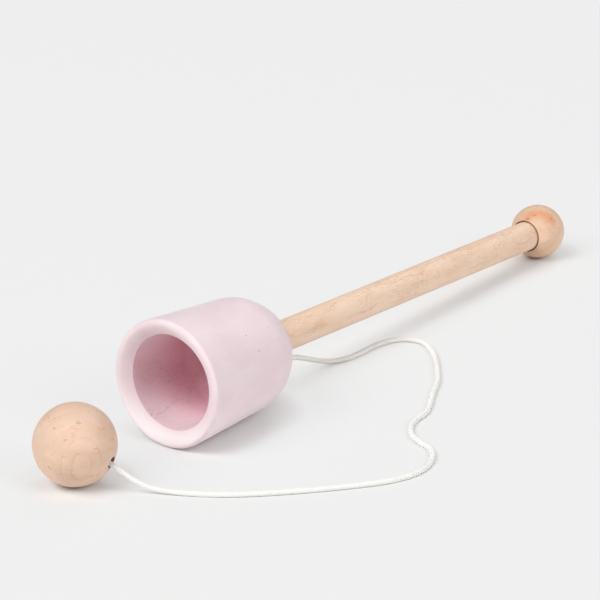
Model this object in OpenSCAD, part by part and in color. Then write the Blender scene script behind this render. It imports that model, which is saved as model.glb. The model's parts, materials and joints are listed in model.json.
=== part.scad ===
// Cup and ball toy, lying on a table: a painted wooden cup on a dowel handle with an end knob,
// and a drilled ball on a cord that is knotted in the cup and in the ball.
// Millimetres, +Z up, with the table at z = 0. The handle's axis lies in the plane y = 0, and
// +X runs from the cup's mouth to the end knob. x = 0 is halfway from the ball's far side to the knob's.

/* [Cup] */
// Outer diameter of the cup at its mouth
cup_mouth_d = 48.4; // [44:0.1:60]
// Diameter of the round base
cup_base_d = 44; // [38:0.5:48]
// Length of the cup from its mouth to its base
cup_length = 60; // [56:0.5:80]
// Thickness of the cup's wall at the mouth
cup_wall = 6.2; // [5:0.1:8]
// Depth of the hollow
hollow_depth = 36; // [24:0.5:40]
// Wood left between the hollow and the handle's socket
floor_wood = 8; // [4:0.5:12]
// Rounding of the lip's outer edge
lip_outer_r = 1.5; // [0.5:0.1:2.5]
// Rounding of the lip's inner edge
lip_inner_r = 3; // [0.5:0.1:4]
// Rounding between the hollow's side and its floor
hollow_corner_r = 5; // [1:0.5:8]

/* [Handle] */
// Length of the toy from the cup's mouth to the knob's end
toy_length = 248; // [180:1:320]
// Diameter of the dowel
rod_d = 12; // [9:0.5:14]
// Chamfer at the dowel's ends
rod_chamfer = 0.8; // [0.2:0.1:1.5]
// Glue gap round the dowel in the cup
glue_gap = 0.1; // [0.02:0.01:0.2]
// Diameter of the end knob
knob_d = 22; // [18:0.5:26]
// Depth of the knob's hole past the knob's centre
knob_hole_past = 3; // [0:0.5:5]
// Open gap round the dowel in the knob
knob_gap = 0.25; // [0.05:0.05:0.5]

/* [Ball] */
// Diameter of the ball
ball_d = 30; // [24:0.5:34]
// Distance of the ball's centre ahead of the mouth's centre
ball_ahead = 42.7; // [30:0.1:60]
// Distance of the ball's centre to the side of the handle's axis
ball_aside = 4.9; // [0:0.1:8]
// Heading of the ball's bore, in degrees from +X
bore_heading = -75; // [-90:1:-60]
// Dip of the ball's bore below level, in degrees
bore_dip = 17; // [5:1:25]

/* [Cord] */
// Diameter of the cord
cord_d = 2; // [1.5:0.1:2.5]
// Room round the cord in the cup's hole
cup_hole_room = 0.7; // [0.2:0.1:1]
// Wood left between the dowel's socket and the cup's hole for the cord
cup_hole_wood = 2.2; // [1:0.1:3]
// Room round the cord in the ball's bore
ball_bore_room = 1; // [0.3:0.1:1.2]
// Diameter of the knots
knot_d = 5.4; // [5:0.1:6]
// Length of the knots along the cord
knot_length = 4.6; // [4:0.1:4.8]
// Room round the knot in the ball's seat
knot_room = 0.4; // [0.2:0.1:0.8]
// Play between the ball and its knot
knot_play = 0.3; // [0.1:0.1:0.6]
// Depth of the knot's outer end below the ball's surface
knot_sink = 1.2; // [0.8:0.1:3]

/* [Hidden] */
$fn = 96;

paint_colour = [0.90, 0.81, 0.83];
beech_colour = [0.89, 0.78, 0.66];
cord_colour = [0.96, 0.95, 0.93];

// Length by which a cutting tool runs past what it cuts
overrun = 1;

// Cup section: a cone from the mouth's edge runs tangent into the round base
mouth_r = cup_mouth_d / 2;
base_r = cup_base_d / 2;
base_s = cup_length - base_r;
cone_angle = atan2(mouth_r, base_s) - asin(base_r / norm([mouth_r, base_s]));
hollow_r = mouth_r - cup_wall;
lip_in = min(lip_inner_r, cup_wall - lip_outer_r);
lip_centre_r = mouth_r - lip_outer_r * (tan(cone_angle) + 1 / cos(cone_angle));

// Dowel and knob, as distances from the mouth along the handle's axis
rod_r = rod_d / 2;
socket_r = rod_r + glue_gap;
rod_start_s = hollow_depth + floor_wood;
knob_r = knob_d / 2;
knob_s = toy_length - knob_r;
rod_end_s = knob_s + knob_hole_past;

// Tilt of the handle's axis, with the knob and the cup's lip or base on the table
lip_to_knob = [lip_centre_r, knob_s - lip_outer_r];
tilt_on_lip = atan2(lip_to_knob[0], lip_to_knob[1]) + asin((lip_outer_r - knob_r) / norm(lip_to_knob));
tilt_on_base = asin((base_r - knob_r) / (knob_s - base_s));
tilt = max(tilt_on_lip, tilt_on_base);

// Places of the mouth and the ball
ball_r = ball_d / 2;
reach_behind = knob_s * cos(tilt) + knob_r;
reach_ahead = ball_ahead + ball_r;
mouth_x = (reach_ahead - reach_behind) / 2;
mouth_z = knob_r + knob_s * sin(tilt);
ball_centre = [mouth_x - ball_ahead, ball_aside, ball_r];
bore_way = [cos(bore_dip) * cos(bore_heading), cos(bore_dip) * sin(bore_heading), -sin(bore_dip)];
bore_top = [sin(bore_dip) * cos(bore_heading), sin(bore_dip) * sin(bore_heading), cos(bore_dip)];

// Holes for the cord and its knots
cord_r = cord_d / 2;
cup_hole_r = cord_r + cup_hole_room;
cup_hole_off = socket_r + cup_hole_wood + cup_hole_r;
cup_exit_s = base_s + sqrt(base_r * base_r - cup_hole_off * cup_hole_off);
hollow_corner = min(hollow_corner_r, hollow_r - cup_hole_off - knot_d / 2);
ball_bore_r = cord_r + ball_bore_room;
seat_r = knot_d / 2 + knot_room;
seat_at = ball_r - knot_sink - knot_length - knot_play;

// Straight stretch of the cord outside the cup
cup_lead = 5;
// Stretches that the cord's route has in each hole
hole_stretches = 4;
// Least gap between the cord and the lower side of the ball's bore, where it lies
cord_play = 0.3;

// The cord's route from the cup to the place where its ball end lifts, measured from below the
// mouth's centre. It droops from the cup, passes under the dowel and lies on the table in an S.
route_on_table = [
    [68, 0, 10.6], [74, 0, 9.5], [80, 0, 7.2], [87, -0.3, 4], [94, -2, 1.7], [101, -4.3, 1],
    [108, -5.3, 1], [116, -5.4, 1], [123, -6.4, 1], [128.6, -9.2, 1], [131.6, -13.8, 1],
    [131.4, -19.4, 1], [127.5, -25.5, 1], [121.3, -32, 1], [107.5, -43, 1], [95.5, -49.5, 1],
    [81.5, -57, 1], [72, -58.6, 1], [66, -61, 1], [60.8, -65.6, 1], [57.7, -71.6, 1],
    [55.8, -77.2, 1], [51.6, -81.4, 1], [45.6, -84.4, 1], [38.5, -85.4, 1], [31, -84, 1],
    [22, -79.6, 1], [8, -69, 1], [-3, -59.6, 1]
];
// The rest of the route, up to the ball
route_to_ball = [
    [-13, -50, 1], [-20, -42, 1], [-25.6, -33.4, 1], [-30, -26, 1.4], [-33.6, -20.6, 2.8], [-36.4, -15.6, 5.6]
];
// Spacing of the rings that the cord's skin is drawn through
ring_step = 5;
cord_sides = 8;

// A point below the handle's axis, at a distance along it from the mouth
function below_axis(drop, s) = [
    mouth_x + s * cos(tilt) - drop * sin(tilt),
    0,
    mouth_z - s * sin(tilt) - drop * cos(tilt)
];
// A point in the ball's bore, at a distance from the ball's centre and a drop below the bore's axis
function in_bore(s, drop) = ball_centre + s * bore_way - drop * bore_top;
function from_mouth(points) = [for (p = points) p + [mouth_x, 0, 0]];

function between(a, b, share) = a + (b - a) * share;

// The cord runs straight through the cup's base, and lies low in the ball's bore until it nears its knot
cup_points = [for (k = [0 : hole_stretches])
    below_axis(cup_hole_off, between(hollow_depth, cup_exit_s + cup_lead, k / hole_stretches))];
bore_drop = ball_bore_room - cord_play;
ball_points = [for (k = [0 : hole_stretches])
    in_bore(between(ball_r, -seat_at, k / hole_stretches), bore_drop * min(1, (hole_stretches - k) / 2))];
lift_index = len(cup_points) + len(route_on_table) - 1;
route = concat(cup_points, from_mouth(route_on_table), from_mouth(route_to_ball), ball_points);

// A smooth curve through the route's points: place and heading at share t of stretch i
function held(i) = route[max(0, min(len(route) - 1, i))];
function slope_at(i) = (held(i + 1) - held(i - 1)) / 2;
function place(i, t) =
    held(i) * (2 * t * t * t - 3 * t * t + 1)
    + held(i + 1) * (3 * t * t - 2 * t * t * t)
    + slope_at(i) * (t * t * t - 2 * t * t + t)
    + slope_at(i + 1) * (t * t * t - t * t);
function heading(i, t) =
    (held(i + 1) - held(i)) * (6 * t - 6 * t * t)
    + slope_at(i) * (3 * t * t - 4 * t + 1)
    + slope_at(i + 1) * (3 * t * t - 2 * t);
function unit(v) = v / norm(v);
function steps(i) = max(1, round(norm(held(i + 1) - held(i)) / ring_step));

// One ring of the cord's skin, square to its heading
function ring(centre, way) =
    let (side = unit(cross(way, [0, 0, 1])), top = cross(side, way))
    [for (k = [0 : cord_sides - 1])
        centre + cord_r * (cos(k * 360 / cord_sides) * side + sin(k * 360 / cord_sides) * top)];
function rings(first, last) = concat(
    [for (i = [first : last - 1])
        for (k = [0 : steps(i) - 1]) ring(place(i, k / steps(i)), unit(heading(i, k / steps(i))))],
    [ring(place(last - 1, 1), unit(heading(last - 1, 1)))]
);

// A closed tube along the route, from one of its points to another
module cord_between(first, last) {
    skin = rings(first, last);
    n = cord_sides;
    polyhedron(
        points = [for (r = skin) each r],
        faces = concat(
            [[for (k = [n - 1 : -1 : 0]) k]],
            [for (i = [0 : len(skin) - 2])
                for (k = [0 : n - 1]) [i * n + k, i * n + (k + 1) % n, (i + 1) * n + (k + 1) % n, (i + 1) * n + k]],
            [[for (k = [0 : n - 1]) (len(skin) - 1) * n + k]]
        ),
        convexity = 10
    );
}

// Sets a piece on the handle: +Z along the axis from the mouth to the knob, +X to the table
module on_handle() {
    translate([mouth_x, 0, mouth_z]) rotate([0, 90 + tilt, 0]) children();
}

// Sets a piece on the ball: +Z along the bore, out of the side that the cord leaves
module on_ball() {
    translate(ball_centre) rotate([0, 0, bore_heading]) rotate([0, 90 + bore_dip, 0]) children();
}

// Half section of the cup's outside, with the axis up the page and the mouth at the bottom
module cup_outline() {
    lip_edge = [lip_centre_r + lip_outer_r * cos(cone_angle), lip_outer_r * (1 + sin(cone_angle))];
    base_edge = [base_r * cos(cone_angle), base_s + base_r * sin(cone_angle)];
    polygon([[0, 0], [lip_centre_r, 0], lip_edge, base_edge, [0, base_edge[1]]]);
    translate([lip_centre_r, lip_outer_r]) circle(lip_outer_r);
    intersection() {
        translate([0, base_s]) circle(base_r);
        translate([0, base_s]) square([base_r, base_r]);
    }
}

// Half section of the cup's hollow, with its flared lip and rounded floor
module hollow_outline() {
    translate([0, -overrun]) square([hollow_r, hollow_depth - hollow_corner + overrun]);
    translate([0, -overrun]) square([hollow_r - hollow_corner, hollow_depth + overrun]);
    translate([hollow_r - hollow_corner, hollow_depth - hollow_corner]) circle(hollow_corner);
    difference() {
        translate([0, -overrun]) square([hollow_r + lip_in, lip_in + overrun]);
        translate([hollow_r + lip_in, lip_in]) circle(lip_in);
    }
}

module cup() {
    color(paint_colour) on_handle() difference() {
        rotate_extrude() difference() {
            cup_outline();
            hollow_outline();
        }
        translate([0, 0, rod_start_s]) cylinder(r = socket_r, h = cup_length - rod_start_s + overrun);
        translate([cup_hole_off, 0, hollow_depth - overrun])
            cylinder(r = cup_hole_r, h = cup_length - hollow_depth + 2 * overrun);
    }
}

module handle_rod() {
    color(beech_colour) on_handle() rotate_extrude() polygon([
        [0, rod_start_s], [rod_r - rod_chamfer, rod_start_s], [rod_r, rod_start_s + rod_chamfer],
        [rod_r, rod_end_s - rod_chamfer], [rod_r - rod_chamfer, rod_end_s], [0, rod_end_s]
    ]);
}

module end_knob() {
    color(beech_colour) on_handle() translate([0, 0, knob_s]) difference() {
        sphere(knob_r);
        translate([0, 0, -knob_r - overrun])
            cylinder(r = rod_r + knob_gap, h = knob_r + knob_hole_past + overrun);
    }
}

module ball() {
    color(beech_colour) on_ball() difference() {
        sphere(ball_r);
        cylinder(r = ball_bore_r, h = ball_d + 2 * overrun, center = true);
        translate([0, 0, -ball_r - overrun]) cylinder(r = seat_r, h = ball_r - seat_at + overrun);
    }
}

module cord() {
    color(cord_colour) cord_between(0, lift_index);
}

module cord_ball_end() {
    color(cord_colour) cord_between(lift_index, len(route) - 1);
}

// A tight stopper knot, flat where it meets its seat and where the cord enters it, seat at z = 0
module knot() {
    translate([0, 0, -knot_length / 2]) intersection() {
        sphere(d = knot_d);
        cube([2 * knot_d, 2 * knot_d, knot_length], center = true);
    }
}

module cup_knot() {
    color(cord_colour) on_handle() translate([cup_hole_off, 0, hollow_depth]) knot();
}

module ball_knot() {
    color(cord_colour) on_ball() translate([0, 0, -seat_at - knot_play]) knot();
}

cup();
handle_rod();
end_knob();
ball();
cord();
cord_ball_end();
cup_knot();
ball_knot();
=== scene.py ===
"""Cup and ball toy on a pale floor: turned and tied pieces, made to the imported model's frame."""

import json
import math

import bmesh
import bpy
from mathutils import Matrix, Vector, noise


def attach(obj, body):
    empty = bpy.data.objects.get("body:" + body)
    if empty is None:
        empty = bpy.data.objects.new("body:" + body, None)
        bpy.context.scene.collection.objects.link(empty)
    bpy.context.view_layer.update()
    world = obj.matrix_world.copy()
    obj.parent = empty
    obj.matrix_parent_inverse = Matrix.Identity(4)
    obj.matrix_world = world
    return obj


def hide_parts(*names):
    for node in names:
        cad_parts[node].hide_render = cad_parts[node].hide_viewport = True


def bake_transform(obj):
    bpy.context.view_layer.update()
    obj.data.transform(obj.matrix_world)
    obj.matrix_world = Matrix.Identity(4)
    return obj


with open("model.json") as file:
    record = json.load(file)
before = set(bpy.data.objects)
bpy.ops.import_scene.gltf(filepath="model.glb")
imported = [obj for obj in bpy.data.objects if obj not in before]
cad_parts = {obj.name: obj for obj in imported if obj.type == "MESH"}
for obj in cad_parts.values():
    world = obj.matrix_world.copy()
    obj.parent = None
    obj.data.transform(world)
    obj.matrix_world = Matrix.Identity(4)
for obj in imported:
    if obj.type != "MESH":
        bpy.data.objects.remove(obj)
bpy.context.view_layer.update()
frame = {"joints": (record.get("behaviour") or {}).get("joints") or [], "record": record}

# Sizes in mm, as in part.scad
MM = 0.001
CUP_MOUTH_R = 24.2
CUP_BASE_R = 22.0
CUP_LENGTH = 60.0
HOLLOW_R = 18.0
HOLLOW_DEPTH = 36.0
HOLLOW_CORNER = 5.0
LIP_OUTER_R = 1.5
ROD_R = 6.0
ROD_START = 44.0
ROD_END = 240.0
ROD_CHAMFER = 0.8
KNOB_R = 11.0
KNOB_S = 237.0
KNOB_GAP = 0.25
BALL_R = 15.0
BALL_AHEAD = 42.7
BORE_R = 2.0
SEAT_R = 3.1
SEAT_AT = 8.9
CORD_R = 1.0
CUP_HOLE_R = 1.7
CUP_HOLE_OFF = 10.0
CUP_EXIT_S = 57.6
CUP_LEAD = 5.0
BORE_DROP = 0.7
HOLE_STRETCHES = 4
KNOT_D = 5.4
KNOT_LENGTH = 4.6
KNOT_PLAY = 0.3

# Places of the handle and the ball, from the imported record
joints = {joint["name"]: joint for joint in frame["joints"]}
mounts = {mount["name"]: mount for mount in frame["record"]["mounts"]}
handle_way = -Vector(mounts["mouth_rim"]["axis"])
ball_centre = Vector(joints["ball_spin"]["pos_m"])
bore_way = Vector(joints["ball_spin"]["axis"])
tilt = -math.asin(handle_way.z)
mouth = Vector((ball_centre.x + BALL_AHEAD * MM, 0, (KNOB_R + KNOB_S * math.sin(tilt)) * MM))
on_handle = Matrix.Translation(mouth) @ Matrix.Rotation(math.pi / 2 + tilt, 4, "Y")
bore_heading = math.atan2(bore_way.y, bore_way.x)
bore_dip = -math.asin(bore_way.z)
on_ball = (
    Matrix.Translation(ball_centre)
    @ Matrix.Rotation(bore_heading, 4, "Z")
    @ Matrix.Rotation(math.pi / 2 + bore_dip, 4, "Y")
)

# The camera, at the photograph's viewing angle
CAMERA_AT = Vector((-0.8544, -0.6631, 0.4745))
CAMERA_AIM = Vector((0.0429, 0.0475, 0.0))
LENS = 184.98
camera_data = bpy.data.cameras.new("camera")
camera_data.lens = LENS
camera_data.clip_end = 50
camera = bpy.data.objects.new("camera", camera_data)
bpy.context.scene.collection.objects.link(camera)
camera.location = CAMERA_AT
camera.rotation_euler = (CAMERA_AIM - CAMERA_AT).to_track_quat("-Z", "Y").to_euler()
bpy.context.scene.camera = camera
view_way = (CAMERA_AIM - CAMERA_AT).normalized()
view_right = view_way.cross(Vector((0, 0, 1))).normalized()
view_up = view_right.cross(view_way)


def seen_way(right, up):
    """The way from a ball's centre to a point of its photographed face, in shares of its radius."""
    toward = math.sqrt(1 - right * right - up * up)
    return right * view_right + up * view_up - toward * view_way


# Mesh helpers

def add_object(name, mesh, place=None):
    obj = bpy.data.objects.new(name, mesh)
    bpy.context.scene.collection.objects.link(obj)
    if place is not None:
        obj.matrix_world = place
    return obj


def line(start, end, step):
    """Points in mm from start to end, without the last."""
    start, end = Vector(start), Vector(end)
    count = max(1, round((end - start).length / step))
    return [tuple(start.lerp(end, k / count)) for k in range(count)]


def arc(centre, radius, first, last, step):
    """Points in mm on an arc between two angles in degrees, without the last."""
    count = max(2, round(abs(math.radians(last - first)) * radius / step))
    angles = [math.radians(first + (last - first) * k / count) for k in range(count)]
    return [(centre[0] + radius * math.cos(a), centre[1] + radius * math.sin(a)) for a in angles]


def finish_mesh(obj, sharp=40):
    """Turns the faces outwards and shades them smooth, with edges sharper than that many degrees kept."""
    shell = bmesh.new()
    shell.from_mesh(obj.data)
    bmesh.ops.recalc_face_normals(shell, faces=shell.faces)
    shell.to_mesh(obj.data)
    shell.free()
    obj.data.shade_smooth()
    obj.data.set_sharp_from_angle(angle=math.radians(sharp))
    return obj


def turned(name, outline, turns, place, loop=False):
    """A turned piece. outline has (radius, z) in mm round local Z, and a loop joins its two ends."""
    points, rings, faces = [], [], []
    for radius, z in outline:
        count = turns if radius > 1e-6 else 1
        rings.append([len(points) + k for k in range(count)])
        for k in range(count):
            angle = 2 * math.pi * k / turns
            points.append(Vector((radius * math.cos(angle), radius * math.sin(angle), z)) * MM)
    pairs = list(zip(rings, rings[1:]))
    if loop:
        pairs.append((rings[-1], rings[0]))
    for low, high in pairs:
        for k in range(turns):
            after = (k + 1) % turns
            corners = [low[k % len(low)], low[after % len(low)], high[after % len(high)], high[k % len(high)]]
            faces.append(list(dict.fromkeys(corners)))
    mesh = bpy.data.meshes.new(name)
    mesh.from_pydata(points, [], faces)
    return finish_mesh(add_object(name, mesh, place))


def roughen(obj, amount, size, shift):
    """Moves the points in or out by soft noise, amount and size in mm. Size is for each axis."""
    scale = Vector([1 / (MM * s) for s in size])
    normals = [v.normal.copy() for v in obj.data.vertices]
    for vertex, normal in zip(obj.data.vertices, normals):
        vertex.co += normal * (amount * MM * noise.noise(vertex.co * scale + Vector((shift, 0, 0))))


def settle(obj):
    """Makes the modifiers' result the object's own mesh."""
    graph = bpy.context.evaluated_depsgraph_get()
    graph.update()
    made = bpy.data.meshes.new_from_object(obj.evaluated_get(graph), depsgraph=graph)
    obj.modifiers.clear()
    old, obj.data = obj.data, made
    bpy.data.meshes.remove(old)
    made.name = obj.name


def timber(centre, grain, heart, depth, along=0.0):
    """The frame of a piece's timber: Z along the grain, the tree's heart at x = y = 0.
    heart is the way from the heart to the piece's centre, and depth in mm is its distance.
    along in mm is how far up the tree the piece was cut."""
    z = grain.normalized()
    x = (heart - heart.dot(z) * z).normalized()
    made = Matrix((x, z.cross(x), z)).transposed().to_4x4()
    made.translation = centre - x * depth * MM - z * along * MM
    return made


def lay_down(obj, own):
    """Moves the mesh into the shared frame, and keeps each point's place in its own frame as its spot."""
    obj.data.transform(obj.matrix_world)
    obj.matrix_world = Matrix.Identity(4)
    back = own.inverted()
    spots = obj.data.attributes.new("spot", "FLOAT_VECTOR", "POINT")
    for vertex, spot in zip(obj.data.vertices, spots.data):
        spot.vector = back @ vertex.co


def hole_shade(obj, depth_at):
    """Marks how much each point is darkened, as painted shade in a hole.
    depth_at takes a point's distance from the axis and its place along it, in mm."""
    marks = obj.data.attributes.new("hole_shade", "FLOAT", "POINT")
    for vertex, mark in zip(obj.data.vertices, marks.data):
        mark.value = depth_at(math.hypot(vertex.co.x, vertex.co.y) / MM, vertex.co.z / MM)


def tube(name, centres, sides, radius_at):
    """A closed tube through centres, in metres. radius_at(share of a turn, metres along) is in mm."""
    points, faces = [], []
    along = 0.0
    lengths = []
    for k, centre in enumerate(centres):
        if k:
            along += (centre - centres[k - 1]).length
        lengths.append(along)
        way = centres[min(k + 1, len(centres) - 1)] - centres[max(k - 1, 0)]
        side = way.cross(Vector((0, 0, 1)))
        if side.length < 1e-3 * way.length:
            side = Vector((1, 0, 0))
        side.normalize()
        top = side.cross(way.normalized())
        for j in range(sides):
            angle = 2 * math.pi * j / sides
            reach = radius_at(j / sides, along) * MM
            points.append(centre + reach * (math.cos(angle) * side + math.sin(angle) * top))
    last = (len(centres) - 1) * sides
    faces.append(list(range(sides)))
    for k in range(len(centres) - 1):
        for j in range(sides):
            after = (j + 1) % sides
            faces.append([k * sides + j, k * sides + after, (k + 1) * sides + after, (k + 1) * sides + j])
    faces.append(list(range(last, last + sides)))
    mesh = bpy.data.meshes.new(name)
    mesh.from_pydata(points, [], faces)
    lay = mesh.uv_layers.new(name="lay")
    for polygon in mesh.polygons:
        if len(polygon.vertices) != 4:
            continue
        for corner, vertex in zip(polygon.loop_indices, polygon.vertices):
            ring, spot = divmod(vertex, sides)
            wraps = spot == 0 and sides - 1 in [v % sides for v in polygon.vertices]
            lay.data[corner].uv = (lengths[ring], 1.0 if wraps else spot / sides)
    return finish_mesh(add_object(name, mesh), sharp=60)


# Material helpers

def linear(red, green, blue):
    """A colour from 0 to 255 on screen, as the shader takes it."""
    def one(value):
        value /= 255
        return value / 12.92 if value <= 0.04045 else ((value + 0.055) / 1.055) ** 2.4
    return (one(red), one(green), one(blue), 1.0)


class Shader:
    """A node material and short ways to add to it."""

    def __init__(self, name):
        self.material = bpy.data.materials.new(name)
        self.material.use_nodes = True
        self.tree = self.material.node_tree
        self.surface = self.tree.nodes["Principled BSDF"]

    def add(self, kind, **settings):
        node = self.tree.nodes.new("ShaderNode" + kind)
        for key, value in settings.items():
            setattr(node, key, value)
        return node

    def feed(self, socket, value):
        if isinstance(value, bpy.types.NodeSocket):
            self.tree.links.new(value, socket)
        else:
            socket.default_value = value

    def place(self):
        """The place on the piece, in metres in its own frame."""
        return self.add("Attribute", attribute_name="spot").outputs["Vector"]

    def math(self, operation, *values):
        node = self.add("Math", operation=operation)
        for socket, value in zip(node.inputs, values):
            self.feed(socket, value)
        return node.outputs[0]

    def times(self, first, *others):
        """The product of the values."""
        for other in others:
            first = self.math("MULTIPLY", first, other)
        return first

    def vector(self, operation, *values):
        node = self.add("VectorMath", operation=operation)
        for socket, value in zip(node.inputs, values):
            self.feed(socket, value)
        return node.outputs["Value"] if operation == "LENGTH" else node.outputs["Vector"]

    def joined(self, x, y):
        """A vector with these parts and z = 0."""
        node = self.add("CombineXYZ")
        self.feed(node.inputs[0], x)
        self.feed(node.inputs[1], y)
        return node.outputs[0]

    def parts(self, vector):
        node = self.add("SeparateXYZ")
        self.feed(node.inputs[0], vector)
        return node.outputs

    def stretched(self, vector, *sizes, shift=None):
        """The vector counted in sizes, in mm for each axis, and moved by the shift."""
        counted = self.vector("MULTIPLY", vector, [1 / (MM * size) for size in sizes])
        return self.vector("ADD", counted, shift) if shift else counted

    def noise(self, vector, detail=2.0, roughness=0.5):
        node = self.add("TexNoise")
        self.feed(node.inputs["Vector"], vector)
        node.inputs["Scale"].default_value = 1.0
        node.inputs["Detail"].default_value = detail
        node.inputs["Roughness"].default_value = roughness
        return node.outputs["Fac"]

    def span(self, value, low, high):
        """0 at low, 1 at high, smooth between them."""
        node = self.add("MapRange", interpolation_type="SMOOTHSTEP")
        self.feed(node.inputs["Value"], value)
        node.inputs["From Min"].default_value = low
        node.inputs["From Max"].default_value = high
        return node.outputs["Result"]

    def span_mm(self, value, low, high):
        """As span, for a length, with low and high in mm."""
        return self.span(value, low * MM, high * MM)

    def flecks(self, vector, share, reach):
        """Spots at the middle of a share of the vector's cells, out to reach."""
        node = self.add("TexVoronoi")
        self.feed(node.inputs["Vector"], vector)
        node.inputs["Scale"].default_value = 1.0
        split = self.add("SeparateColor")
        self.feed(split.inputs[0], node.outputs["Color"])
        spot = self.span(node.outputs["Distance"], reach, reach * 0.45)
        chosen = self.span(split.outputs[0], 1 - share, 1 - share * 0.7)
        return self.times(spot, chosen)

    def mix(self, share, first, second):
        node = self.add("Mix", data_type="RGBA")
        self.feed(node.inputs[0], share)
        self.feed(node.inputs[6], first)
        self.feed(node.inputs[7], second)
        return node.outputs[2]

    def tint(self, base, mask, strength, colour):
        """The base with a colour laid over it at that strength, where the mask is 1."""
        return self.mix(self.times(mask, strength), base, colour)

    def bump(self, height, distance):
        """Relief of that distance in mm."""
        node = self.add("Bump")
        self.feed(node.inputs["Height"], height)
        node.inputs["Strength"].default_value = 1.0
        node.inputs["Distance"].default_value = distance * MM
        self.feed(self.surface.inputs["Normal"], node.outputs["Normal"])

    def colour(self, value):
        self.feed(self.surface.inputs["Base Color"], value)

    def rough(self, value, low, high):
        """Roughness between low and high, by a value from 0 to 1."""
        node = self.add("MapRange")
        self.feed(node.inputs["Value"], value)
        node.inputs["To Min"].default_value = low
        node.inputs["To Max"].default_value = high
        self.feed(self.surface.inputs["Roughness"], node.outputs["Result"])

    def fixed(self, **values):
        for name, value in values.items():
            self.surface.inputs[name.replace("_", " ")].default_value = value


# Colours of what shows in the beech
WARM_WOOD = linear(238, 202, 182)
LATE_WOOD = linear(206, 152, 114)
FIBRE = linear(216, 178, 148)
FIGURE = linear(206, 158, 128)
PORE = linear(200, 154, 120)
FLECK = linear(176, 122, 88)
STAIN = linear(219, 152, 107)
STAIN_MARK = linear(170, 100, 60)
# Painted shade, laid in the knob's hole and the ball's bore
PAINTED_HOLE_SHADE = linear(128, 72, 34)


def beech_material(
    name, pale, deep, lace, fleck_share, fleck_width, fleck_strength,
    ring_strength, ring_width, ring_sway, ring_start, stain=None,
):
    """Sanded beech between a pale and a deep colour: faint year rings, short dark flecks and fine fibres.
    lace is how strongly the fine broken figure shows. Widths, and the depth where the rings start, are in mm.
    ring_sway counts in rings. stain has two depths in mm, and the upper wood between them is orange."""
    s = Shader(name)
    place = s.place()
    x, y, _ = s.parts(place)
    depth = s.vector("LENGTH", s.joined(x, y))
    # Year rings, clearer in some places than in others
    bend = s.noise(s.stretched(place, 8, 8, 20))
    ripple = s.noise(s.stretched(place, 1.6, 1.6, 6))
    year = s.times(depth, 1 / (MM * ring_width))
    year = s.math("MULTIPLY_ADD", bend, ring_sway, year)
    year = s.math("MULTIPLY_ADD", ripple, 0.3, year)
    share = s.math("FRACT", year)
    broad = s.times(s.span(share, 0.2, 0.9), s.span(share, 1.0, 0.93))
    thin = s.times(s.span(share, 0.8, 0.93), s.span(share, 1.0, 0.95))
    late = s.math("MULTIPLY_ADD", broad, 0.4, s.times(thin, 0.6))
    clear = s.span(s.noise(s.stretched(place, 6, 6, 15, shift=(3.3, 8.1, 0.7)), detail=1.0), 0.35, 0.65)
    late = s.times(s.math("MULTIPLY_ADD", clear, 0.7, 0.3), late)
    late = s.times(late, s.span_mm(depth, ring_start, ring_start + 1.5))
    # Fibres, wavy flecks and pores along the grain
    mottle = s.noise(s.stretched(place, 7, 7, 22), detail=3.0, roughness=0.55)
    warm = s.noise(s.stretched(place, 9, 9, 24, shift=(7.3, 2.1, 4.9)))
    fibre = s.noise(s.stretched(place, 0.3, 0.3, 6), roughness=0.6)
    stray = s.math("MULTIPLY_ADD", ripple, fleck_width * 2.4 * MM, fleck_width * -1.2 * MM)
    wavy = s.vector("ADD", place, s.joined(stray, stray))
    figure = s.stretched(wavy, fleck_width * 0.9, fleck_width * 0.9, fleck_width * 3.2)
    figure = s.times(s.span(s.noise(figure, detail=3.0, roughness=0.65), 0.53, 0.63), clear)
    fleck = s.flecks(s.stretched(wavy, fleck_width, fleck_width, fleck_width * 3.4), fleck_share, reach=0.42)
    pore = s.flecks(s.stretched(place, 0.3, 0.3, 1.8), share=0.3, reach=0.36)
    wood = s.mix(s.span(mottle, 0.3, 0.7), pale, deep)
    wood = s.tint(wood, s.span(warm, 0.42, 0.7), 0.6, WARM_WOOD)
    if stain:
        inner, outer = stain
        wander = s.math("SUBTRACT", s.noise(s.stretched(place, 4, 4, 7), detail=4.0, roughness=0.7), 0.5)
        reach = s.math("MULTIPLY_ADD", wander, 2.4 * MM, depth)
        band = s.times(
            s.span_mm(reach, inner - 0.8, inner + 0.6),
            s.span_mm(reach, outer + 0.5, outer - 0.7),
            s.span_mm(y, 1.0, -3.0),
        )
        marks = s.flecks(s.stretched(place, 1.8, 1.8, 3.0), share=0.6, reach=0.42)
        wood = s.tint(wood, band, 0.85, STAIN)
        wood = s.tint(wood, s.times(marks, band), 0.7, STAIN_MARK)
    wood = s.tint(wood, late, ring_strength, LATE_WOOD)
    wood = s.tint(wood, s.span(fibre, 0.35, 0.75), 0.2, FIBRE)
    wood = s.tint(wood, figure, lace, FIGURE)
    wood = s.tint(wood, pore, 0.15, PORE)
    wood = s.tint(wood, fleck, fleck_strength, FLECK)
    # Painted shade darkens the knob's hole and the ball's bore
    wood = s.mix(s.add("Attribute", attribute_name="hole_shade").outputs["Fac"], wood, PAINTED_HOLE_SHADE)
    s.colour(wood)
    s.rough(fibre, 0.48, 0.64)
    s.bump(s.math("SUBTRACT", s.times(fibre, 0.5), fleck), distance=0.03)
    s.fixed(Specular_IOR_Level=0.45, Sheen_Weight=0.1)
    return s.material


# Colours of the cup's paint
PAINT_PALE = linear(235, 218, 222)
PAINT_DEEP = linear(230, 209, 215)
PAINT_GRAIN = linear(222, 194, 204)
PAINT_SPECK = linear(150, 116, 124)
# Painted light: the lip's low side, paler
LIP_PAINTED_LIGHT = linear(238, 227, 229)
HOLLOW_FRONT = linear(243, 212, 219)
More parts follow.
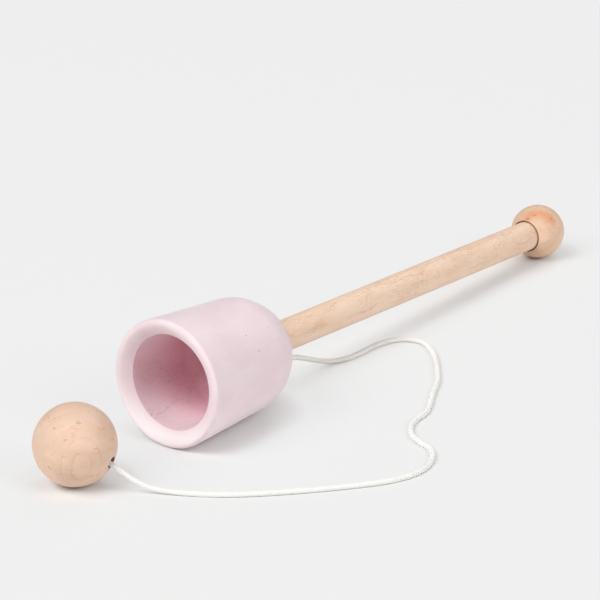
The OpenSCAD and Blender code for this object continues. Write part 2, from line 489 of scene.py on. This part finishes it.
# Painted shade: the hollow's colour deep inside, darker than at its mouth
HOLLOW_SHADED_BACK = linear(237, 191, 201)
# Painted light: the hollow's low side near its mouth, paler
HOLLOW_PAINTED_LIGHT = linear(241, 225, 228)
HOLLOW_TEAR = linear(200, 146, 160)


def paint_material():
    """Matte pink paint that lets the wood's grain through, deeper in the drilled hollow, where wood is torn.
    The low side of the hollow and of the lip is painted paler as painted light, and the hollow darkens
    towards its back as painted shade. The piece's own +X is its low side."""
    s = Shader("cup_paint")
    place = s.place()
    x, y, z = s.parts(place)
    radius = s.vector("LENGTH", s.joined(x, y))
    inside = s.times(
        s.span_mm(radius, 19.4, 18.2),
        s.span_mm(z, HOLLOW_DEPTH + 2, HOLLOW_DEPTH + 1),
        s.span_mm(z, 2.0, 4.2),
    )
    lip = s.times(s.span_mm(z, 4.2, 1.0), s.span_mm(radius, 23.6, 22.4))
    # Painted light: the low side of the lip and of the hollow's front is painted paler
    painted_light_side = s.span_mm(x, 4, 17)
    thin = s.times(painted_light_side, s.span_mm(z, 24, 8))
    cloud = s.noise(s.stretched(place, 14, 14, 20), detail=3.0)
    grain = s.noise(s.stretched(place, 0.6, 0.6, 12), detail=3.0, roughness=0.6)
    peel = s.noise(s.stretched(place, 1.1, 1.1, 1.6))
    torn = s.noise(s.stretched(place, 0.8, 0.8, 3.0), detail=3.0, roughness=0.65)
    patch = s.span(s.noise(s.stretched(place, 9, 9, 14, shift=(1.7, 5.2, 3.1)), detail=1.0), 0.4, 0.6)
    tear = s.times(s.span(torn, 0.5, 0.68), patch, inside)
    speck = s.flecks(s.stretched(place, 5, 5, 7), share=0.35, reach=0.07)
    paint = s.mix(s.span(cloud, 0.3, 0.7), PAINT_PALE, PAINT_DEEP)
    paint = s.tint(paint, s.span(grain, 0.45, 0.75), 0.16, PAINT_GRAIN)
    paint = s.mix(s.times(lip, painted_light_side), paint, LIP_PAINTED_LIGHT)
    # Painted shade: the hollow's paint darkens from its mouth towards its back
    hollow = s.mix(s.span_mm(z, 10, 32), HOLLOW_FRONT, HOLLOW_SHADED_BACK)
    hollow = s.tint(hollow, thin, 0.6, HOLLOW_PAINTED_LIGHT)
    paint = s.mix(inside, paint, hollow)
    paint = s.tint(paint, tear, 0.22, HOLLOW_TEAR)
    paint = s.tint(paint, speck, 0.6, PAINT_SPECK)
    s.colour(paint)
    s.rough(peel, 0.5, 0.64)
    relief = s.math("MULTIPLY_ADD", grain, 0.4, s.times(peel, 0.35))
    s.bump(s.math("SUBTRACT", relief, s.times(tear, 2.0)), distance=0.06)
    s.fixed(Specular_IOR_Level=0.22, Sheen_Weight=0.4, Sheen_Roughness=0.4)
    return s.material


# The cord's cotton and twist, lengths in mm
COTTON_PALE = linear(235, 234, 231)
COTTON_DEEP = linear(228, 226, 222)
STRANDS = 3
TWIST_PITCH = 5.0
TWIST_DEPTH = 0.09
FIBRES_ROUND = 26.0
FIBRE_LENGTH = 1.6


def cord_material(name, wound):
    """White cotton. wound says that the piece has a twisted cord's map, with fibres along its strands."""
    s = Shader(name)
    if wound:
        along, turn, _ = s.parts(s.add("UVMap", uv_map="lay").outputs[0])
        lean = s.math("MULTIPLY_ADD", along, -1 / (MM * TWIST_PITCH), turn)
        flow = s.joined(s.times(lean, FIBRES_ROUND), s.times(along, 1 / (MM * FIBRE_LENGTH)))
    else:
        flow = s.stretched(s.place(), 0.25, 0.25, 0.5)
    fibre = s.noise(flow, detail=3.0, roughness=0.6)
    s.colour(s.mix(s.span(fibre, 0.3, 0.75), COTTON_PALE, COTTON_DEEP))
    s.rough(fibre, 0.8, 0.95)
    s.bump(fibre, distance=0.06)
    s.fixed(Specular_IOR_Level=0.2, Sheen_Weight=0.15)
    s.fixed(Subsurface_Weight=0.7, Subsurface_Radius=(1.0, 1.0, 1.0), Subsurface_Scale=1.2 * MM)
    return s.material


def dress(obj, material, slot, body, *nodes):
    """Gives a piece its material, sets it on its body and lets it stand for CAD nodes. slot is not used."""
    obj.data.materials.clear()
    obj.data.materials.append(material)
    if body:
        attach(obj, body)
    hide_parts(*nodes)


# The cord comes first: its route from the cup's knot to the ball's, with the points of part.scad in mm
CORD_SIDES = 24
RING_STEP = 0.4
CURVE_STEPS = 40
ROUTE_ON_TABLE = [
    (68, 0, 10.6), (74, 0, 9.5), (80, 0, 7.2), (87, -0.3, 4), (94, -2, 1.7), (101, -4.3, 1),
    (108, -5.3, 1), (116, -5.4, 1), (123, -6.4, 1), (128.6, -9.2, 1), (131.6, -13.8, 1),
    (131.4, -19.4, 1), (127.5, -25.5, 1), (121.3, -32, 1), (107.5, -43, 1), (95.5, -49.5, 1),
    (81.5, -57, 1), (72, -58.6, 1), (66, -61, 1), (60.8, -65.6, 1), (57.7, -71.6, 1),
    (55.8, -77.2, 1), (51.6, -81.4, 1), (45.6, -84.4, 1), (38.5, -85.4, 1), (31, -84, 1),
    (22, -79.6, 1), (8, -69, 1), (-3, -59.6, 1),
]
ROUTE_TO_BALL = [
    (-13, -50, 1), (-20, -42, 1), (-25.6, -33.4, 1),
    (-30, -26, 1.4), (-33.6, -20.6, 2.8), (-36.4, -15.6, 5.6),
]


def from_mouth(point):
    return Vector((mouth.x + point[0] * MM, point[1] * MM, point[2] * MM))


def in_cup(share):
    s = HOLLOW_DEPTH + (CUP_EXIT_S + CUP_LEAD - HOLLOW_DEPTH) * share
    return on_handle @ (Vector((CUP_HOLE_OFF, 0, s)) * MM)


def in_ball(share):
    s = BALL_R + (-SEAT_AT - BALL_R) * share
    drop = BORE_DROP * min(1, (1 - share) * HOLE_STRETCHES / 2)
    return on_ball @ (Vector((drop, 0, s)) * MM)


def smooth_route(points, step):
    """Evenly spaced points on the smooth curve through the points, and its length."""
    def held(i):
        return points[max(0, min(len(points) - 1, i))]
    dense = []
    for i in range(len(points) - 1):
        a, b = held(i), held(i + 1)
        slope_a = (held(i + 1) - held(i - 1)) / 2
        slope_b = (held(i + 2) - held(i)) / 2
        for k in range(CURVE_STEPS):
            t = k / CURVE_STEPS
            dense.append(
                a * (2 * t ** 3 - 3 * t ** 2 + 1) + b * (3 * t ** 2 - 2 * t ** 3)
                + slope_a * (t ** 3 - 2 * t ** 2 + t) + slope_b * (t ** 3 - t ** 2)
            )
    dense.append(points[-1])
    reach = [0.0]
    for a, b in zip(dense, dense[1:]):
        reach.append(reach[-1] + (b - a).length)
    count = round(reach[-1] / step)
    even, i = [], 0
    for k in range(count + 1):
        wanted = reach[-1] * k / count
        while i < len(dense) - 2 and reach[i + 1] < wanted:
            i += 1
        even.append(dense[i].lerp(dense[i + 1], (wanted - reach[i]) / (reach[i + 1] - reach[i])))
    return even, reach[-1]


def twisted(radius):
    """The radius in mm of a cord of twisted strands, as tube takes it."""
    def radius_at(turn, along):
        strand = math.cos(STRANDS * math.pi * (turn - along / (MM * TWIST_PITCH)))
        return radius - TWIST_DEPTH * (1 - abs(strand)) ** 1.5
    return radius_at


hole_shares = [k / HOLE_STRETCHES for k in range(HOLE_STRETCHES + 1)]
route = [in_cup(share) for share in hole_shares]
route += [from_mouth(point) for point in ROUTE_ON_TABLE + ROUTE_TO_BALL]
route += [in_ball(share) for share in hole_shares]
cord_path, cord_length = smooth_route(route, RING_STEP * MM)
cord = tube("cord_line", cord_path, CORD_SIDES, twisted(CORD_R))

# The knots, sizes in mm
KNOT_STRAND_R = 0.95
KNOT_SWAY = 0.45
KNOT_POINTS = 160
KNOT_SIDES = 20
KNOT_VOXEL = 0.1
KNOT_ENTRY = (0.02, 0.8, 1.6, 2.3)
TAIL_OUT = (0.8, 2.8)
TAIL_ASIDE = 1.2
TAIL_INSIDE = 1.2
TAIL_POINTS = 5
CUP_KNOT_TAIL = 1.6


def knot(name, place, tail):
    """An overhand knot pulled tight, with its seat at z = 0 and its body below. tail in mm is its cut end."""
    ring_r = KNOT_D / 2 - KNOT_STRAND_R - KNOT_SWAY
    rise = KNOT_LENGTH / 2 - KNOT_STRAND_R
    loop = []
    for k in range(KNOT_POINTS):
        t = 2 * math.pi * k / KNOT_POINTS
        radius = ring_r + KNOT_SWAY * math.cos(3 * t)
        height = -KNOT_LENGTH / 2 + rise * math.sin(3 * t)
        loop.append(Vector((radius * math.cos(2 * t), radius * math.sin(2 * t), height)) * MM)
    loop.append(loop[0].copy())
    ends = [[Vector((0, 0, -depth * MM)) for depth in KNOT_ENTRY]]
    if tail:
        start = Vector((TAIL_OUT[0], 0, TAIL_INSIDE - KNOT_LENGTH))
        end = Vector((TAIL_OUT[1], TAIL_ASIDE, -KNOT_LENGTH - tail))
        ends.append([start.lerp(end, k / (TAIL_POINTS - 1)) * MM for k in range(TAIL_POINTS)])
    made = tube(name, loop, KNOT_SIDES, twisted(KNOT_STRAND_R))
    parts = [tube(name + "_end", points, KNOT_SIDES, twisted(KNOT_STRAND_R)) for points in ends]
    shell = bmesh.new()
    for part in [made, *parts]:
        shell.from_mesh(part.data)
    shell.to_mesh(made.data)
    shell.free()
    for part in parts:
        bpy.data.objects.remove(part)
    made.matrix_world = place
    remesh = made.modifiers.new("knit", "REMESH")
    remesh.mode = "VOXEL"
    remesh.voxel_size = KNOT_VOXEL * MM
    settle(made)
    return finish_mesh(made, sharp=60)


in_hollow = on_handle @ Matrix.Translation((CUP_HOLE_OFF * MM, 0, HOLLOW_DEPTH * MM))
in_seat = on_ball @ Matrix.Translation((0, 0, -(SEAT_AT + KNOT_PLAY) * MM))
cup_knot = knot("cup_knot_tied", in_hollow, CUP_KNOT_TAIL)
ball_knot = knot("ball_knot_tied", in_seat, 0)

# The cup: drilled hollow, sloping lip, tapered side, round base and socket, with a hole for the cord
LIP_FACE_R = 22.4
LIP_DEPTH = 3.2
LIP_SOFTNESS = 0.3
LIP_STEPS = 32
SOCKET_ROOM = 0.04
SOCKET_EASE = 0.35
base_s = CUP_LENGTH - CUP_BASE_R
slope = math.atan2(CUP_MOUTH_R, base_s) - math.asin(CUP_BASE_R / math.hypot(CUP_MOUTH_R, base_s))
slope_deg = math.degrees(slope)
lip_r = CUP_MOUTH_R - LIP_OUTER_R * (math.tan(slope) + 1 / math.cos(slope))
lip_edge = (lip_r + LIP_OUTER_R * math.cos(slope), LIP_OUTER_R * (1 + math.sin(slope)))
corner_r = HOLLOW_R - HOLLOW_CORNER
corner_s = HOLLOW_DEPTH - HOLLOW_CORNER
base_edge = (CUP_BASE_R * math.cos(slope), base_s + CUP_BASE_R * math.sin(slope))
socket_r = ROD_R + SOCKET_ROOM
socket_edge = socket_r + SOCKET_EASE
socket_s = base_s + math.sqrt(CUP_BASE_R ** 2 - socket_edge ** 2)
socket_deg = math.degrees(math.acos(socket_edge / CUP_BASE_R))


def lip_curve(count):
    """Points in mm on a slope from the hollow's edge that eases into the lip's face, without the last."""
    edge, face = Vector((HOLLOW_R, LIP_DEPTH)), Vector((LIP_FACE_R, 0))
    lead = face - Vector((LIP_FACE_R - HOLLOW_R, 0)) * LIP_SOFTNESS
    curve = []
    for k in range(count):
        t = k / count
        curve.append(tuple(edge * (1 - t) ** 2 + lead * 2 * t * (1 - t) + face * t * t))
    return curve


cup_outline = (
    line((0, HOLLOW_DEPTH), (corner_r, HOLLOW_DEPTH), step=0.6)
    + arc((corner_r, corner_s), HOLLOW_CORNER, 90, 0, step=0.3)
    + line((HOLLOW_R, corner_s), (HOLLOW_R, LIP_DEPTH), step=0.6)
    + lip_curve(LIP_STEPS)
    + line((LIP_FACE_R, 0), (lip_r, 0), step=0.3)
    + arc((lip_r, LIP_OUTER_R), LIP_OUTER_R, 270, 360 + slope_deg, step=0.15)
    + line(lip_edge, base_edge, step=0.6)
    + arc((0, base_s), CUP_BASE_R, slope_deg, socket_deg, step=0.6)
    + arc((socket_edge, socket_s - SOCKET_EASE), SOCKET_EASE, 90, 180, step=0.1)
    + line((socket_r, socket_s - SOCKET_EASE), (socket_r, ROD_START), step=1.2)
    + line((socket_r, ROD_START), (0, ROD_START), step=1.2)
    + [(0, ROD_START)]
)
cup = turned("cup_turned", cup_outline, turns=192, place=on_handle)
roughen(cup, amount=0.1, size=(17, 17, 23), shift=3.7)
roughen(cup, amount=0.035, size=(3.1, 3.1, 6.3), shift=8.2)
drill_start = HOLLOW_DEPTH - 1
drill_end = CUP_LENGTH + 1
drill_outline = [(0, drill_start), (CUP_HOLE_R, drill_start), (CUP_HOLE_R, drill_end), (0, drill_end)]
at_hole = on_handle @ Matrix.Translation((CUP_HOLE_OFF * MM, 0, 0))
drill = turned("drill", drill_outline, turns=48, place=at_hole)
bore = cup.modifiers.new("bore", "BOOLEAN")
bore.operation = "DIFFERENCE"
bore.object = drill
settle(cup)
bpy.data.objects.remove(drill)
finish_mesh(cup)

# The dowel
rod_end_r = ROD_R - ROD_CHAMFER
rod_first = ROD_START + ROD_CHAMFER
rod_last = ROD_END - ROD_CHAMFER
rod_outline = (
    line((0, ROD_START), (rod_end_r, ROD_START), step=1)
    + line((rod_end_r, ROD_START), (ROD_R, rod_first), step=0.4)
    + line((ROD_R, rod_first), (ROD_R, rod_last), step=1)
    + line((ROD_R, rod_last), (rod_end_r, ROD_END), step=0.4)
    + line((rod_end_r, ROD_END), (0, ROD_END), step=1)
    + [(0, ROD_END)]
)
rod = turned("handle_dowel", rod_outline, turns=96, place=on_handle)
roughen(rod, amount=0.05, size=(9, 9, 40), shift=1.3)

# The end knob, with a hole that leaves a dark ring round the dowel
KNOB_EASE = 0.25
KNOB_HOLE_EASE = 0.3
knob_hole_r = ROD_R + KNOB_GAP
knob_edge = knob_hole_r + KNOB_EASE
knob_front = math.degrees(math.asin(knob_edge / KNOB_R)) - 90
knob_front_s = KNOB_S + KNOB_R * math.sin(math.radians(knob_front))
knob_outline = (
    line((0, ROD_END), (knob_hole_r, ROD_END), step=1)
    + line((knob_hole_r, ROD_END), (knob_hole_r, knob_front_s + KNOB_HOLE_EASE), step=0.6)
    + arc((knob_edge, knob_front_s + KNOB_EASE), KNOB_EASE, 180, 270, step=0.08)
    + arc((0, KNOB_S), KNOB_R, knob_front, 90, step=0.35)
    + [(0, KNOB_S + KNOB_R)]
)
knob = turned("end_knob_turned", knob_outline, turns=128, place=on_handle)
roughen(knob, amount=0.06, size=(9, 9, 9), shift=5.9)

# The ball, bored through for the cord, with a seat for its knot
BALL_EASE = 0.4
BALL_EASE_SINK = 0.35
bore_edge = BORE_R + BALL_EASE
seat_edge = SEAT_R + BALL_EASE
bore_top = math.sqrt(BALL_R ** 2 - bore_edge ** 2)
seat_top = math.sqrt(BALL_R ** 2 - seat_edge ** 2)
bore_deg = math.degrees(math.acos(bore_edge / BALL_R))
seat_deg = math.degrees(math.acos(seat_edge / BALL_R))
ball_outline = (
    arc((bore_edge, bore_top - BALL_EASE_SINK), BALL_EASE, 180, 100, step=0.1)
    + arc((0, 0), BALL_R, bore_deg, -seat_deg, step=0.4)
    + arc((seat_edge, BALL_EASE_SINK - seat_top), BALL_EASE, 260, 180, step=0.1)
    + line((SEAT_R, BALL_EASE_SINK - seat_top), (SEAT_R, -SEAT_AT), step=0.6)
    + line((SEAT_R, -SEAT_AT), (BORE_R, -SEAT_AT), step=0.4)
    + line((BORE_R, -SEAT_AT), (BORE_R, bore_top - BALL_EASE), step=0.8)
)
ball = turned("ball_turned", ball_outline, turns=160, place=on_ball, loop=True)
roughen(ball, amount=0.07, size=(11, 11, 11), shift=2.4)

# Painted shade darkens the knob's hole and the ball's bore, out to these radii in mm
KNOB_DARK_R = 6.7
KNOB_DARK = 0.9
BORE_DARK_R = 2.2
BORE_DARK = 0.8
hole_shade(rod, lambda r, s: 0.0)
hole_shade(knob, lambda r, s: KNOB_DARK if r < KNOB_DARK_R and s < ROD_END + 0.1 else 0.0)
hole_shade(ball, lambda r, s: BORE_DARK if r < BORE_DARK_R else 0.0)

# Each wooden piece is cut from its own part of a tree
knob_centre = on_handle @ Vector((0, 0, KNOB_S * MM))
knob_grain = view_right + 0.15 * view_up
rod_grain = handle_way + Vector((0, 0.02, 0.01))
ball_heart = seen_way(0.23, -0.49)
ball_grain = view_up.cross(ball_heart)
lay_down(cup, on_handle)
lay_down(rod, timber(mouth, rod_grain, -view_way, depth=38))
lay_down(knob, timber(knob_centre, knob_grain, seen_way(-0.05, 0.05), depth=30))
lay_down(ball, timber(ball_centre, ball_grain, ball_heart, depth=15.75, along=74))
lay_down(cup_knot, on_handle)
lay_down(ball_knot, on_ball)

rod_beech = beech_material(
    "beech_rod", pale=linear(240, 213, 190), deep=linear(234, 202, 175), lace=0.6,
    fleck_share=0.06, fleck_width=0.6, fleck_strength=0.28,
    ring_strength=0.4, ring_width=2.4, ring_sway=2.4, ring_start=0,
)
knob_beech = beech_material(
    "beech_knob", pale=linear(226, 193, 167), deep=linear(219, 181, 151), lace=0.3,
    fleck_share=0.05, fleck_width=0.8, fleck_strength=0.35,
    ring_strength=0.25, ring_width=2.4, ring_sway=2.4, ring_start=0, stain=(38.2, 40.2),
)
ball_beech = beech_material(
    "beech_ball", pale=linear(221, 192, 171), deep=linear(218, 184, 159), lace=0.4,
    fleck_share=0.08, fleck_width=1.2, fleck_strength=0.55,
    ring_strength=0.48, ring_width=1.3, ring_sway=0.8, ring_start=28,
)
cotton = cord_material("cord", wound=True)
tied_cotton = cord_material("cord_knots", wound=False)
dress(cup, paint_material(), "cup_paint", "handle", "cup")
dress(rod, rod_beech, "beech", "handle", "handle_rod")
dress(knob, knob_beech, "beech", "handle", "end_knob")
dress(ball, ball_beech, "beech", "ball", "ball")
dress(cup_knot, tied_cotton, "cord", "handle", "cup_knot")
dress(ball_knot, tied_cotton, "cord", "cord_end", "ball_knot")
dress(cord, cotton, "cord", None, "cord", "cord_ball_end")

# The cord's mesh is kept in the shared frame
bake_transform(cord)

# The floor, pale to the camera, with the toy's shadow on it. Its glow is painted light that lifts that shadow
# where the camera sees it, and fades close to the toy, within a distance in metres
FLOOR_HALF = 12.0
FLOOR_LIT = linear(245, 245, 244)
FLOOR_SEEN = linear(229, 229, 228)
FLOOR_GLOW = linear(240, 240, 240)
GLOW_SHARE = 0.83
GLOW_CLOSE = 0.013
GLOW_FADE = 1.5
corners = [(FLOOR_HALF * x, FLOOR_HALF * y, 0) for x, y in ((-1, -1), (1, -1), (1, 1), (-1, 1))]
floor_mesh = bpy.data.meshes.new("floor")
floor_mesh.from_pydata(corners, [], [(0, 1, 2, 3)])
floor = add_object("floor", floor_mesh)
shader = Shader("floor")
shader.fixed(Roughness=0.9, Specular_IOR_Level=0.1)
path = shader.add("LightPath").outputs
seen = shader.math("MAXIMUM", path["Is Camera Ray"], path["Is Glossy Ray"])
seen = shader.math("MAXIMUM", seen, path["Is Transmission Ray"])
shader.colour(shader.mix(seen, FLOOR_LIT, FLOOR_SEEN))
open_sky = shader.add("AmbientOcclusion", samples=8)
open_sky.inputs["Distance"].default_value = GLOW_CLOSE
glow = shader.add("Emission")
glow.inputs["Color"].default_value = FLOOR_GLOW
glow_share = shader.times(seen, shader.math("POWER", open_sky.outputs["AO"], GLOW_FADE), GLOW_SHARE)
lit = shader.add("MixShader")
shader.feed(lit.inputs[0], glow_share)
shader.feed(lit.inputs[1], shader.surface.outputs[0])
shader.feed(lit.inputs[2], glow.outputs[0])
shader.feed(shader.tree.nodes["Material Output"].inputs["Surface"], lit.outputs[0])
floor.data.materials.append(shader.material)

# A pale world and three soft lamps: ahead of the mouth, to its right and behind it
WORLD_LIGHT = 0.15
LAMP_REACH = 4.0
world = bpy.data.worlds.new("world")
world.use_nodes = True
sky = world.node_tree.nodes["Background"]
sky.inputs["Color"].default_value = (1, 1, 1, 1)
sky.inputs["Strength"].default_value = WORLD_LIGHT
bpy.context.scene.world = world


def soft_lamp(name, turn, rise, size, watts):
    """A round lamp. turn and rise in degrees give its way from the toy.
    A turn of 0 is ahead of the mouth, and 90 is to its left."""
    data = bpy.data.lights.new(name, "AREA")
    data.shape = "DISK"
    data.size = size
    data.energy = watts
    lamp = bpy.data.objects.new(name, data)
    bpy.context.scene.collection.objects.link(lamp)
    turn, rise = math.radians(turn), math.radians(rise)
    way = Vector((-math.cos(turn) * math.cos(rise), math.sin(turn) * math.cos(rise), math.sin(rise)))
    lamp.location = way * LAMP_REACH
    lamp.visible_camera = False
    lamp.rotation_euler = (-way).to_track_quat("-Z", "Y").to_euler()


soft_lamp("main", turn=15, rise=46, size=2.4, watts=135)
soft_lamp("right", turn=-94, rise=36, size=2.2, watts=74)
soft_lamp("behind", turn=165, rise=48, size=1.9, watts=26)

bpy.context.scene.view_settings.view_transform = "Standard"
